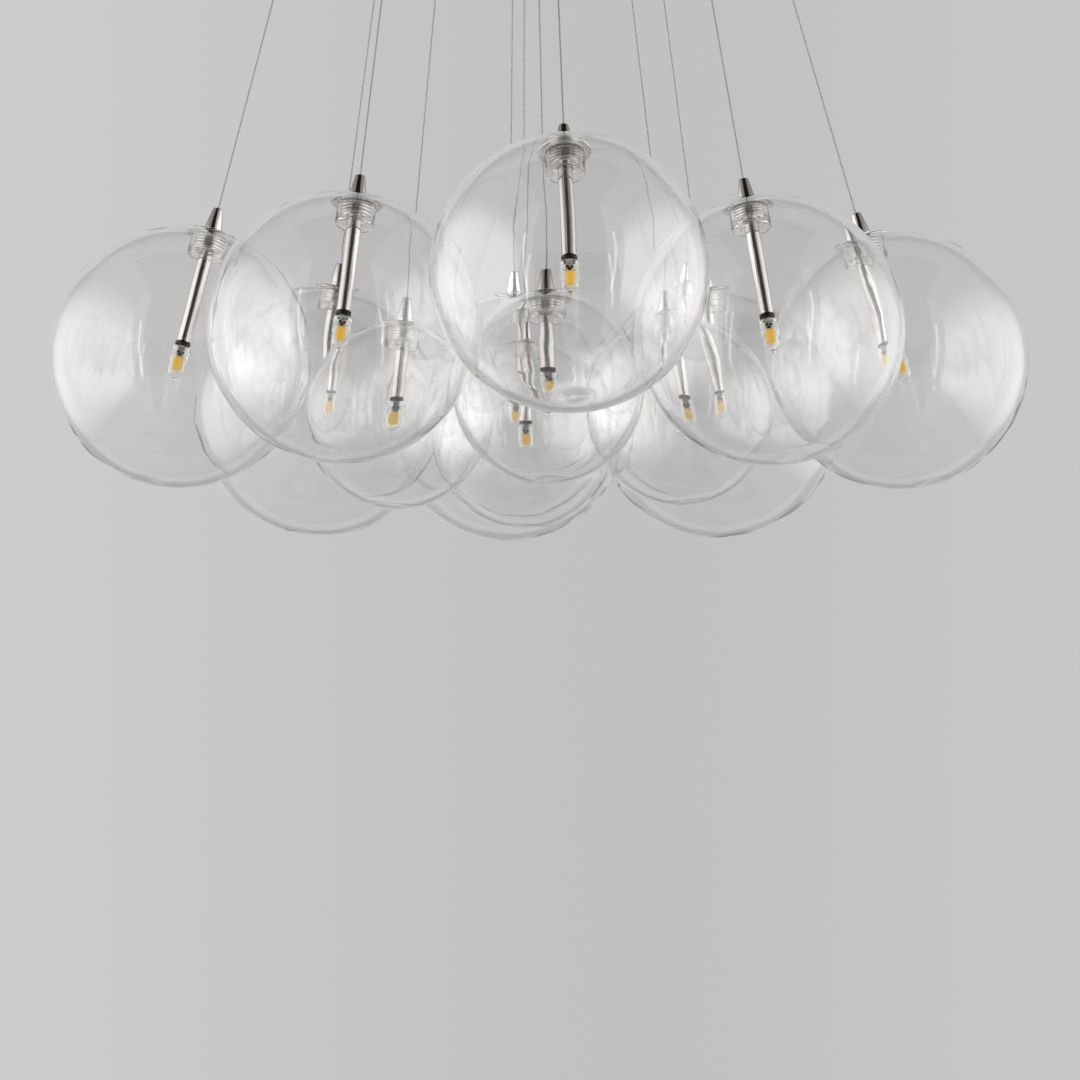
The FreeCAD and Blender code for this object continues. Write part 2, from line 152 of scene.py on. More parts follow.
def colour(name, description, code):
    return FloatVectorProperty(name=name, description=description, subtype="COLOR",
                               size=3, min=0, max=1, default=linear(code))


def linear(code):
    """sRGB hex to the linear colour that shaders take."""
    parts = [int(code[i:i + 2], 16) / 255 for i in (1, 3, 5)]
    return tuple(c / 12.92 if c <= 0.04045 else ((c + 0.055) / 1.055) ** 2.4 for c in parts)


class Finishes(bpy.types.PropertyGroup):
    glass: colour("Glass", "Clear blown glass", "#FEFEFE")
    capsule: colour("Capsule", "Clear lamp capsule", "#FFFEFA")
    nickel: colour("Nickel", "Polished nickel plate", "#DAD5CE")
    canopy: colour("Canopy", "Satin nickel plate of the canopy", "#C4BFB9")
    steel: colour("Steel", "Stranded steel in a clear jacket", "#B2B1AE")
    zinc: colour("Zinc", "Zinc plated steel", "#B9BCC0")
    black: colour("Socket", "Black moulded socket", "#171615")
    phosphor: colour("Phosphor", "Amber block over the lamp's chips", "#F9C850")
    board: colour("Board", "Lamp's circuit board", "#E6E4DC")
    chip: colour("Chip", "Parts on the circuit board", "#242326")
    plastic: colour("Plastic", "White moulded plastic of the driver", "#E4E3DE")
    backdrop: colour("Backdrop", "Studio grey behind the light", "#BABABA")
    backdrop_left: colour("Backdrop, left", "Studio grey towards the left", "#D2D2D2")
    backdrop_right: colour("Backdrop, right", "Studio grey towards the right", "#CCCCCC")
    dark: colour("Dark front", "Unlit studio round the camera", "#261D17")
    table: colour("Table", "Pale table under the object", "#C9C9C9")
    floor: colour("Floor", "Studio's floor, as pale as the backdrop once lit", "#C3C3C3")
    dim: colour("Dim walls", "Studio's ceiling and sides", "#989795")


class StageSettings(bpy.types.PropertyGroup):
    camera_place: FloatVectorProperty(name="Camera", description="Where the camera stands",
                                      default=(0.011, -3.834, -1.4735), subtype="TRANSLATION")
    camera_pitch: FloatProperty(name="Pitch", description="How far the camera looks up",
                                default=math.radians(8.57), subtype="ANGLE")
    lens: FloatProperty(name="Lens", description="Focal length in millimetres", default=169.1)
    floor: FloatProperty(name="Floor", description="Height of the floor", default=-2.3,
                         subtype="DISTANCE", unit="LENGTH")
    softbox_shine: FloatProperty(name="Softbox shine", description="How bright a softbox looks "
                                 "at its brightest in glass and metal", default=1.8)
    strip_shine: FloatProperty(name="Strip shine", description="How bright the narrow light in "
                               "front of a softbox looks in glass and metal", default=3.0)
    softbox_centre: FloatProperty(name="Softbox centre", description="How far in front of its "
                                  "middle a softbox is brightest", default=1.1)
    softbox_fade: FloatVectorProperty(name="Softbox fade", description="Distance to the end of "
                                      "a softbox's light, across and up", size=2,
                                      default=(5.0, 2.3))
    plain_level: FloatProperty(name="Plain level", description="Light on diffuse surfaces",
                               default=1.75)


def sizes(group):
    return getattr(bpy.context.scene, "pendant_" + group)


# ---------------------------------------------------------------- the pendants of the frame

class Pendant:
    """One hanging globe, read from the joint that its globe turns on."""

    def __init__(self, joint):
        self.number = int(joint["name"].rsplit("_", 1)[1])
        self.carrier = joint["parent"]
        self.centre = Vector(joint["pos_m"])
        self.up = Vector(joint["axis"]).normalized()
        low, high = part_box(f"globe_{self.number}")
        self.large = high.z - low.z > LARGE_GLOBE_BOX
        turn = Vector((0, 0, 1)).rotation_difference(self.up).to_matrix().to_4x4()
        self.matrix = Matrix.Translation(self.centre) @ turn

    @property
    def radius(self):
        return sizes("globe").large_radius if self.large else sizes("globe").small_radius

    @property
    def rod_end(self):
        return sizes("stem").rod_end_large if self.large else sizes("stem").rod_end_small

    @property
    def cable(self):
        return sizes("cable").outer if self.large else sizes("cable").inner


PENDANTS = [Pendant(j) for j in frame["joints"] if j["name"].startswith("globe_turn_")]


# ---------------------------------------------------------------- outlines and meshes

def arc(centre_z, radius, start, end, steps):
    """Points (r, z) on a circle about (0, centre_z); degrees from the bottom pole to the top."""
    angles = [math.radians(start + (end - start) * i / steps) for i in range(steps + 1)]
    return [(radius * math.sin(a), centre_z - radius * math.cos(a)) for a in angles]


def corner(r, z, radius, start, end, steps=5):
    """Points on a small round about (r, z), in degrees from +r towards +z."""
    angles = [math.radians(start + (end - start) * i / steps) for i in range(steps + 1)]
    return [(r + radius * math.cos(a), z + radius * math.sin(a)) for a in angles]


def pole_angle(radius, r):
    """Degrees from the bottom pole at which a circle reaches distance r near its top."""
    return 180 - math.degrees(math.asin(r / radius))


def threads(radius, height, start_z, end_z, turns):
    """Cut threads, drawn as rings with a flat crest and root, up a wall."""
    pitch = (end_z - start_z) / turns
    ring = ((0.0, 0.0), (0.25, 0.0), (0.4, height), (0.85, height))
    return [(radius + rise, start_z + (turn + share) * pitch)
            for turn in range(turns) for share, rise in ring] + [(radius, end_z)]


def lathe(outline, steps, closed=True):
    """Mesh turned round the Z axis from points (r, z)."""
    bm = bmesh.new()
    verts = [bm.verts.new((r, 0, z)) for r, z in outline]
    pairs = list(zip(verts, verts[1:]))
    if closed:
        pairs.append((verts[-1], verts[0]))
    edges = [bm.edges.new(pair) for pair in pairs]
    bmesh.ops.spin(bm, geom=verts + edges, axis=(0, 0, 1), cent=(0, 0, 0), dvec=(0, 0, 0),
                   angle=2 * math.pi, steps=steps, use_merge=True, use_duplicate=False)
    bmesh.ops.remove_doubles(bm, verts=bm.verts, dist=1e-6)
    bmesh.ops.dissolve_degenerate(bm, dist=1e-7, edges=bm.edges)
    bmesh.ops.recalc_face_normals(bm, faces=bm.faces)
    return bm


def finish_piece(bm, name, material, body, matrix=None, sharp=40, replaces=()):
    """Turns a bmesh into a piece that rides on a body, with its place in its mesh."""
    if matrix is not None:
        bmesh.ops.transform(bm, matrix=matrix, verts=bm.verts)
    mesh = bpy.data.meshes.new(name)
    bm.to_mesh(mesh)
    bm.free()
    mesh.shade_smooth()
    mesh.set_sharp_from_angle(angle=math.radians(sharp))
    mesh.materials.append(material)
    piece = bpy.data.objects.new(name, mesh)
    bpy.context.scene.collection.objects.link(piece)
    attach(piece, body)
    if replaces:
        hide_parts(*replaces)
    return piece


# ---------------------------------------------------------------- materials

def add_node(tree, kind, links=None, inputs=None, **settings):
    """Adds a node, sets its properties and constant inputs, and links its inputs."""
    node = tree.nodes.new(kind)
    for key, value in settings.items():
        setattr(node, key, value)
    for key, value in (inputs or {}).items():
        node.inputs[key].default_value = value
    for key, source in (links or {}).items():
        tree.links.new(source, node.inputs[key])
    return node


def new_material(name, base, **values):
    """A material of one Principled shader; values are set on its own sockets."""
    material = bpy.data.materials.get(name)
    if material:
        return material, None, None
    material = bpy.data.materials.new(name)
    material.use_nodes = True
    shader = material.node_tree.nodes["Principled BSDF"]
    shader.inputs["Base Color"].default_value = (*base, 1)
    for key, value in values.items():
        shader.inputs[key.replace("_", " ").title().replace("Ior", "IOR")].default_value = value
    return material, material.node_tree, shader


def object_pattern(tree, scale=(1, 1, 1)):
    place = add_node(tree, "ShaderNodeTexCoord").outputs["Object"]
    return add_node(tree, "ShaderNodeMapping", {"Vector": place}, {"Scale": scale}).outputs[0]


def bump(tree, shader, height, distance, strength=1.0):
    node = add_node(tree, "ShaderNodeBump", {"Height": height},
                    {"Distance": distance, "Strength": strength})
    tree.links.new(node.outputs[0], shader.inputs["Normal"])


def varied_colour(tree, shader, base, amount, factor):
    """Base colour that drifts darker by amount with a pattern."""
    ramp = add_node(tree, "ShaderNodeValToRGB", {"Fac": factor})
    ramp.color_ramp.elements[0].position = 0.3
    ramp.color_ramp.elements[1].position = 0.7
    ramp.color_ramp.elements[0].color = (*[c * (1 - amount) for c in base], 1)
    ramp.color_ramp.elements[1].color = (*base, 1)
    tree.links.new(ramp.outputs[0], shader.inputs["Base Color"])


def varied_roughness(tree, shader, low, high, factor):
    node = add_node(tree, "ShaderNodeMapRange", {"Value": factor}, {"To Min": low, "To Max": high})
    tree.links.new(node.outputs[0], shader.inputs["Roughness"])


def blown_glass():
    """Soda-lime glass, mouth-blown: clear and fire-polished, with slow waves in its surface."""
    base = sizes("finish").glass
    material, tree, shader = new_material("blown_glass", base, transmission_weight=1.0,
                                          roughness=0.0, ior=1.5)
    if tree:
        waves = add_node(tree, "ShaderNodeTexNoise", {"Vector": object_pattern(tree)},
                         {"Scale": 1 / (28 * MM), "Detail": 1.5, "Roughness": 0.4})
        bump(tree, shader, waves.outputs["Fac"], 0.35 * MM, 0.6)
    return material


def capsule_glass():
    """Moulded clear silicone over the lamp: soft highlights, slightly cloudy."""
    base = sizes("finish").capsule
    material, tree, shader = new_material("lamp_capsule_clear", base, transmission_weight=1.0,
                                          roughness=0.02, ior=1.41)
    if tree:
        ripple = add_node(tree, "ShaderNodeTexNoise", {"Vector": object_pattern(tree)},
                          {"Scale": 1 / (3 * MM), "Detail": 2.0})
        bump(tree, shader, ripple.outputs["Fac"], 0.15 * MM, 0.5)
    return material


def polished_nickel():
    """Nickel plate over turned brass: bright, faintly warm, with fine turning lines."""
    base = sizes("finish").nickel
    material, tree, shader = new_material("polished_nickel", base, metallic=1.0, roughness=0.03)
    if tree:
        lines = add_node(tree, "ShaderNodeTexNoise",
                         {"Vector": object_pattern(tree, (0.05, 0.05, 1.0))},
                         {"Scale": 1 / (0.6 * MM), "Detail": 3.0, "Roughness": 0.6})
        varied_roughness(tree, shader, 0.01, 0.045, lines.outputs["Fac"])
        smears = add_node(tree, "ShaderNodeTexNoise", {"Vector": object_pattern(tree)},
                          {"Scale": 1 / (9 * MM), "Detail": 4.0})
        varied_colour(tree, shader, base, 0.08, smears.outputs["Fac"])
        bump(tree, shader, lines.outputs["Fac"], 0.01 * MM, 0.4)
    return material


def satin_nickel():
    """Spun sheet with a satin nickel plate: rings of fine brushing round the centre."""
    base = sizes("finish").canopy
    material, tree, shader = new_material("satin_nickel_canopy", base, metallic=1.0, roughness=0.3)
    if tree:
        place = object_pattern(tree)
        rings = add_node(tree, "ShaderNodeTexWave", {"Vector": place},
                         {"Scale": 1 / (16 * MM), "Distortion": 0.4, "Detail": 1.0,
                          "Detail Scale": 2.0},
                         wave_type="RINGS", rings_direction="Z")
        varied_roughness(tree, shader, 0.26, 0.33, rings.outputs["Fac"])
        smears = add_node(tree, "ShaderNodeTexNoise", {"Vector": place},
                          {"Scale": 1 / (40 * MM), "Detail": 4.0})
        varied_colour(tree, shader, base, 0.07, smears.outputs["Fac"])
        bump(tree, shader, rings.outputs["Fac"], 0.01 * MM, 0.2)
    return material


def stranded_steel():
    """Stainless strands under a clear jacket; the lay is drawn as slanting bands, with painted
    shade along the grooves between strands.
    """
    base = sizes("finish").steel
    material, tree, shader = new_material("stranded_steel", base, metallic=0.5, roughness=0.36)
    if tree:
        pitch = sizes("cable").strand_pitch
        bands = add_node(tree, "ShaderNodeTexWave",
                         {"Vector": object_pattern(tree, (1.6, 1.6, 1.0))},
                         {"Scale": 0.314 / pitch, "Distortion": 0.3},
                         wave_type="BANDS", bands_direction="DIAGONAL")
        # Painted shade: each band's darker half stands for the shade in the grooves between
        # strands.
        varied_colour(tree, shader, base, 0.14, bands.outputs["Fac"])
        bump(tree, shader, bands.outputs["Fac"], 0.02 * MM, 0.3)
        shader.inputs["Coat Weight"].default_value = 0.5
        shader.inputs["Coat Roughness"].default_value = 0.08
    return material


def grained(name, base, roughness, grain, depth, **values):
    """A moulded or plated surface with a fine even grain."""
    material, tree, shader = new_material(name, base, roughness=roughness, **values)
    if tree:
        pattern = add_node(tree, "ShaderNodeTexNoise", {"Vector": object_pattern(tree)},
                           {"Scale": 1 / grain, "Detail": 4.0, "Roughness": 0.6})
        varied_colour(tree, shader, base, 0.1, pattern.outputs["Fac"])
        varied_roughness(tree, shader, roughness * 0.85, min(1, roughness * 1.2),
                         pattern.outputs["Fac"])
        bump(tree, shader, pattern.outputs["Fac"], depth, 0.5)
    return material


def black_socket():
    """Glass-filled nylon, moulded: near black with a dull shine."""
    return grained("black_nylon_socket", sizes("finish").black, 0.38, 0.6 * MM, 0.02 * MM)


def amber_block():
    """Phosphor-filled silicone over the chips: amber and translucent, with a painted glow for the
    light the glass keeps from it.
    """
    material = grained("amber_phosphor", sizes("finish").phosphor, 0.45, 1.6 * MM, 0.08 * MM)
    shader = material.node_tree.nodes["Principled BSDF"]
    shader.inputs["Subsurface Weight"].default_value = 0.25
    shader.inputs["Subsurface Scale"].default_value = 1.5 * MM
    # Painted glow: this emission stands in for light that reaches the block only faintly through
    # the glass round it.
    shader.inputs["Emission Color"].default_value = (*sizes("finish").phosphor, 1)
    shader.inputs["Emission Strength"].default_value = 0.45
    return material


def circuit_board():
    """Glass-epoxy laminate under a pale solder mask."""
    return grained("lamp_board", sizes("finish").board, 0.4, 0.5 * MM, 0.01 * MM)


def chip_resin():
    """Moulded epoxy of the small parts on the board."""
    return grained("chip_resin", sizes("finish").chip, 0.5, 0.3 * MM, 0.01 * MM)


def zinc_plate():
    """Bright zinc plate on pressed steel, with a faint spangle."""
    return grained("zinc_plate", sizes("finish").zinc, 0.34, 7 * MM, 0.01 * MM, metallic=1.0)


def white_plastic():
    """Polycarbonate, moulded with a fine spark-eroded grain."""
    return grained("white_polycarbonate", sizes("finish").plastic, 0.5, 0.5 * MM, 0.03 * MM)


# ---------------------------------------------------------------- globes

# The inner surface strays in slow swells, and in finer streaks drawn out along the axis.
GLOBE_ARC_STEPS = 72
SWELL = 45 * MM
STREAK = 13 * MM
STREAK_STRETCH = 0.2
STREAK_SHARE = 0.3


def globe_outline(radius):
    """Outer surface up from the bottom, over the lip, down the collar and back inside."""
    s = sizes("globe")
    inner = radius - s.wall
    lip_z = math.sqrt(radius ** 2 - (s.bore + s.lip) ** 2) - s.lip
    outer = arc(0, radius, 0, pole_angle(radius, s.bore + s.lip * 1.15), GLOBE_ARC_STEPS)
    lip = corner(s.bore + s.lip, lip_z, s.lip, 80, 180)
    end = radius - s.collar_depth
    bore = [(s.bore, end + 0.6 * MM)]
    foot = corner((s.bore + s.collar) / 2, end + 0.7 * MM, (s.collar - s.bore) / 2, 200, 340)
    root_angle = pole_angle(inner, s.collar + s.lip)
    root_z = s.sag - inner * math.cos(math.radians(root_angle))
    wall = threads(s.collar, s.thread, end + 1.4 * MM, end + s.thread_end, turns=3)
    root = corner(s.collar + s.lip, root_z - s.lip, s.lip, 180, 95)
    inside = arc(s.sag, inner, root_angle, 0, GLOBE_ARC_STEPS)
    return outer + lip + bore + foot + wall + root + inside, inner


def shape_glass(bm, inner, number):
    """Lets the inner surface stray and thicken at the bottom, as blown glass does."""
    s = sizes("globe")
    seed = Vector((number * 7.3, number * 3.1, -number * 5.7))
    for vert in bm.verts:
        away = vert.co - Vector((0, 0, s.sag))
        if abs(away.length - inner) > 0.05 * MM or math.hypot(away.x, away.y) < 1e-6 < away.z:
            continue
        level = min(1.0, max(0.0, (inner * 0.9 - away.z) / (inner * 0.3)))
        swell = noise.noise(vert.co / SWELL + seed)
        streaks = noise.noise(Vector((away.x, away.y, away.z * STREAK_STRETCH)) / STREAK + seed)
        stray = swell + STREAK_SHARE * streaks
        pool = math.exp(-((away.x ** 2 + away.y ** 2) / s.gather_radius ** 2)) * (away.z < 0)
        vert.co -= away.normalized() * (s.unevenness * stray * level + s.gather * pool)


class PENDANT_OT_globes(bpy.types.Operator):
    """Blown glass globes with an inward threaded collar"""
    bl_idname = "pendant.globes"
    bl_label = "Globes"

    def execute(self, context):
        s = sizes("globe")
        blanks = {}
        for p in PENDANTS:
            outline, inner = globe_outline(p.radius)
            if p.large not in blanks:
                blanks[p.large] = lathe(outline, s.steps)
            bm = blanks[p.large].copy()
            shape_glass(bm, inner, p.number)
            finish_piece(bm, f"glass_globe_{p.number}", blown_glass(), f"globe_{p.number}",
                         p.matrix, sharp=60, replaces=[f"globe_{p.number}"])
        return {"FINISHED"}


# ---------------------------------------------------------------- stems

def cone_outline(radius):
    s = sizes("stem")
    top = radius + s.flange_gap + s.flange_wall
    seat = math.sqrt(top ** 2 - s.cone_radius ** 2)
    tip = radius + s.tip
    edge = 0.35 * MM
    return [
        (0, seat), (s.cone_radius - edge, seat), (s.cone_radius, seat + edge),
        (s.cone_radius, seat + 1.6 * MM), (s.cone_radius - edge, seat + 2.0 * MM),
        (s.tip_radius, tip - 0.8 * MM), (s.tip_radius - 0.2 * MM, tip - edge),
        (s.tip_radius - 0.6 * MM, tip),
        (1.1 * MM, tip), (0.9 * MM, tip - 0.8 * MM), (0, tip - 0.8 * MM),
    ]


def bush_outline(radius):
    s = sizes("stem")
    under = radius + s.flange_gap
    top = under + s.flange_wall
    foot = radius - s.bush_depth
    web = foot + s.web
    root = s.bush - s.thread
    root_z = math.sqrt(under ** 2 - root ** 2)
    dome = arc(0, under, pole_angle(under, root + 0.6 * MM), pole_angle(under, s.flange), 6)
    over = arc(0, top, pole_angle(top, s.flange), pole_angle(top, s.cone_radius - 1 * MM), 8)
    rim = (s.flange + 0.25 * MM, (dome[-1][1] + over[0][1]) / 2)
    wall = threads(root, s.thread, foot + 0.7 * MM, root_z - 0.9 * MM, turns=5)
    return (
        [(s.rod, web), (s.bush_bore - 0.4 * MM, web), (s.bush_bore, web - 0.4 * MM),
         (s.bush_bore, foot + 0.4 * MM), (s.bush_bore + 0.3 * MM, foot),
         (root - 0.3 * MM, foot), (root, foot + 0.3 * MM)]
        + wall + [(root, root_z - 0.4 * MM)] + dome + [rim] + over
        + [(s.rod, over[-1][1])]
    )


def rod_outline(radius, end):
    s = sizes("stem")
    bore = s.rod - s.rod_wall
    top = radius - 1.0 * MM
    return [(s.rod - 0.2 * MM, end), (s.rod, end + 0.2 * MM), (s.rod, top), (bore, top),
            (bore, end)]


SOCKET_PLUG = 12 * MM


def socket_outline(end):
    s = sizes("stem")
    low = end - s.socket_lip
    ring = s.rod + s.socket_ring
    bore = s.rod - s.rod_wall - 0.05 * MM
    return [
        (0, low), (ring - 0.6 * MM, low), (ring - 0.15 * MM, low + 0.2 * MM),
        (ring, low + 0.6 * MM), (ring, end - 0.35 * MM), (ring - 0.3 * MM, end - 0.05 * MM),
        (bore, end - 0.05 * MM), (bore, end + SOCKET_PLUG), (0, end + SOCKET_PLUG),
    ]


class PENDANT_OT_stems(bpy.types.Operator):
    """Strain cone, flange with threaded bush, rod and lamp socket of every pendant"""
    bl_idname = "pendant.stems"
    bl_label = "Stems"

    def execute(self, context):
        for p in PENDANTS:
            n, body, place = p.number, p.carrier, p.matrix
            nickel = polished_nickel()
            finish_piece(lathe(cone_outline(p.radius), 64), f"strain_cone_{n}", nickel, body,
                         place, sharp=30)
            finish_piece(lathe(bush_outline(p.radius), 96), f"flange_bush_{n}", nickel, body,
                         place, sharp=35)
            finish_piece(lathe(rod_outline(p.radius, p.rod_end), 64), f"rod_{n}", nickel, body,
                         place, sharp=30, replaces=[f"stem_{n}"])
            finish_piece(lathe(socket_outline(p.rod_end), 48), f"socket_{n}", black_socket(),
                         body, place, sharp=30)
        return {"FINISHED"}


# ---------------------------------------------------------------- lamps

# A chip's place is its distance from the board's middle line and its drop from the base.
SHOULDER_DEPTH = 5 * MM
CHIP_SIZE = (2.4 * MM, 1.1 * MM, 1.5 * MM)
CHIP_OFF_BOARD = 1.0 * MM
CHIP_PLACES = ((-1.9 * MM, 2.6 * MM), (1.6 * MM, 2.2 * MM), (0.2 * MM, 4.4 * MM))
BOARD_THICKNESS = 1.0 * MM


def lamp_top(p):
    return p.rod_end - sizes("stem").socket_lip - sizes("lamp").seat_gap


def capsule_outline(top):
    s = sizes("lamp")
    inner = s.radius - s.wall
    nib = top - s.total
    dome = nib + s.nib + s.radius
    low = top - SHOULDER_DEPTH
    base = top - s.base
    root = math.degrees(math.asin(s.nib_radius / s.radius))
    return (
        [(0, nib), (s.nib_radius * 0.6, nib + 0.1 * MM), (s.nib_radius, nib + 0.7 * MM)]
        + arc(dome, s.radius, root + 4, 90, 10)
        + [(s.radius, low - 0.6 * MM), (s.radius + 0.3 * MM, low),
           (s.shoulder - 0.2 * MM, low + 0.9 * MM), (s.shoulder, low + 1.4 * MM),
           (s.shoulder, base - 0.3 * MM), (s.shoulder - 0.3 * MM, base), (inner, base)]
        + arc(dome, inner, 90, 0, 10)
    )


def boxed(bm, size, centre, edge):
    """Adds a bevelled block to a bmesh."""
    new = bmesh.ops.create_cube(bm, size=1, matrix=Matrix.Translation(centre) @ Matrix.Diagonal(
        (*size, 1)))["verts"]
    edges = list(dict.fromkeys(e for v in new for e in v.link_edges))
    bmesh.ops.bevel(bm, geom=edges, offset=edge, segments=3, profile=0.5, affect="EDGES",
                    material=-1)


class PENDANT_OT_lamps(bpy.types.Operator):
    """Two-pin lamp capsules with their board, chips and amber block"""
    bl_idname = "pendant.lamps"
    bl_label = "Lamps"

    def execute(self, context):
        s = sizes("lamp")
        for p in PENDANTS:
            n, body, place = p.number, f"lamp_{p.number}", p.matrix
            top = lamp_top(p)
            base = top - s.base
            finish_piece(lathe(capsule_outline(top), 64), f"lamp_capsule_{n}", capsule_glass(),
                         body, place, sharp=50, replaces=[f"lamp_{n}"])
            bm = bmesh.new()
            boxed(bm, (s.board_width, BOARD_THICKNESS, s.board_length),
                  (0, 0, base - s.board_length / 2), 0.12 * MM)
            finish_piece(bm, f"lamp_board_{n}", circuit_board(), body, place)
            bm = bmesh.new()
            for x, drop in CHIP_PLACES:
                for side in (-1, 1):
                    boxed(bm, CHIP_SIZE, (side * x, side * CHIP_OFF_BOARD, base - drop), 0.1 * MM)
            finish_piece(bm, f"lamp_chips_{n}", chip_resin(), body, place)
            bm = bmesh.new()
            boxed(bm, (s.block_width, s.block_depth, s.block_length),
                  (0, 0, base - s.block_drop), 1.2 * MM)
            finish_piece(bm, f"lamp_block_{n}", amber_block(), body, place)
            rim, edge = s.base_radius, 0.2 * MM
            pins = lathe([(0, base), (rim - edge, base), (rim, base + edge),
                          (rim, top - edge), (rim - edge, top), (0, top)], 48)
            for side in (-0.5, 0.5):
                middle = (side * s.pin_pitch, 0, top + s.pin_length / 2)
                bmesh.ops.create_cone(pins, cap_ends=True, segments=12, radius1=s.pin,
                                      radius2=s.pin, depth=s.pin_length,
                                      matrix=Matrix.Translation(middle))
            finish_piece(pins, f"lamp_base_{n}", circuit_board(), body, place)
        return {"FINISHED"}


# ---------------------------------------------------------------- cables

class PENDANT_OT_cables(bpy.types.Operator):
    """Taut steel cables from the cones to the canopy's glands"""
    bl_idname = "pendant.cables"
    bl_label = "Cables"

    def execute(self, context):
        s = sizes("cable")
        for p in PENDANTS:
            tip = p.centre + p.up * (p.radius + sizes("stem").tip)
            curve = bpy.data.curves.new(f"steel_cable_{p.number}", "CURVE")
            curve.dimensions = "3D"
            curve.bevel_depth = s.radius
            curve.bevel_resolution = 3
            curve.resolution_u = 24
            curve.use_fill_caps = True
            spline = curve.splines.new("NURBS")
            spline.points.add(3)
            for point, share in zip(spline.points, (0, 1 / 3, 2 / 3, 1)):
                point.co = (*(tip + p.up * (p.cable * share)), 1)
            spline.order_u = 3
            spline.use_endpoint_u = True
            curve.materials.append(stranded_steel())
            piece = bpy.data.objects.new(f"steel_cable_{p.number}", curve)
            context.scene.collection.objects.link(piece)
            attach(piece, p.carrier)
            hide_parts(f"cable_{p.number}")
            tip + p.up * p.cable
            p.cable
            2 * s.radius
        return {"FINISHED"}


# ---------------------------------------------------------------- canopy

class PENDANT_OT_canopy(bpy.types.Operator):
    """Finishes of the canopy and of what it holds"""
    bl_idname = "pendant.canopy"
    bl_label = "Canopy"

    def execute(self, context):
        finishes = {
            satin_nickel: ["canopy_cup"],
            polished_nickel: ["cable_glands", "side_screws"],
            zinc_plate: ["ceiling_plate", "gland_nuts", "driver_screws", "earth_screw"],
            white_plastic: ["led_driver", "mains_terminal", "lead_connectors"],
            stranded_steel: ["lead_tails"],
        }
        for make, nodes in finishes.items():
            for name in nodes:
                mesh = frame["nodes"][name].data
                mesh.materials.clear()
                mesh.materials.append(make())
        return {"FINISHED"}


# ---------------------------------------------------------------- stage

# In metres. A light's x is the right-hand one's, and the left-hand one mirrors it.
BACKDROP_SPREAD = 0.12
BACKDROP_MIDDLE = 0.55
FLOOR_WIDTH = 60
ROOM_SIZE = (12, 11.4, 7.5)
ROOM_PLACE = (0, 0.2, 1.5)
TABLE_SIZE = (8, 6)
TABLE_HEIGHT = -2.25
UNLIT_HALF_WIDTH = 3.0
UNLIT_FRONT = -5.5
UNLIT_TOP = 5.2
UNLIT_BACK = 0.5
SOFTBOX_SIZE = (4.4, 5.6)
SOFTBOX_X, SOFTBOX_Y, SOFTBOX_Z = 2.0, -0.1, -0.8
SOFTBOX_FULL = 0.75
STRIP_SIZE = (0.12, 2.75)
STRIP_X, STRIP_Y, STRIP_Z = 1.95, -2.9, -0.85
STRIP_TURN = math.radians(34)


def reflected_only(tree, light):
    """Shows a light to rays that have been reflected; every other ray goes through it."""
    path = add_node(tree, "ShaderNodeLightPath")
    clear = add_node(tree, "ShaderNodeBsdfTransparent")
    mix = add_node(tree, "ShaderNodeMixShader", {0: path.outputs["Glossy Depth"],
                                                 1: clear.outputs[0], 2: light.outputs[0]})
    add_node(tree, "ShaderNodeOutputMaterial", {"Surface": mix.outputs[0]})


def stage_material(name):
    """An empty material whose light isn't sampled, so it lights nothing by itself."""
    material = bpy.data.materials.new(name)
    material.use_nodes = True
    material.cycles.emission_sampling = "NONE"
    material.node_tree.nodes.clear()
    return material, material.node_tree


def softbox_cloth(name, side):
    """Lit cloth, brightest towards the front and fading evenly into the unlit studio."""
    s = sizes("stage")
    material, tree = stage_material(name)
    place = add_node(tree, "ShaderNodeTexCoord").outputs["Object"]
    width, height = s.softbox_fade
    scaled = add_node(tree, "ShaderNodeMapping", {"Vector": place},
                      {"Scale": (1 / width, 1 / height, 1),
                       "Location": (-side * s.softbox_centre / width, 0, 0)})
    fade = add_node(tree, "ShaderNodeTexGradient", {"Vector": scaled.outputs[0]},
                    gradient_type="SPHERICAL")
    ease = add_node(tree, "ShaderNodeMapRange", {"Value": fade.outputs["Fac"]},
                    {"From Max": SOFTBOX_FULL, "To Min": sizes("finish").dim[0],
                     "To Max": s.softbox_shine}, interpolation_type="SMOOTHERSTEP")
    reflected_only(tree, add_node(tree, "ShaderNodeEmission", {"Strength": ease.outputs[0]}))
    return material


def plain_wall(name, grey, strength=1.0):
    """One even grey or light, seen only in gloss and glass."""
    material, tree = stage_material(name)
    reflected_only(tree, add_node(tree, "ShaderNodeEmission",
                                  inputs={"Color": (*grey, 1), "Strength": strength}))
    return material


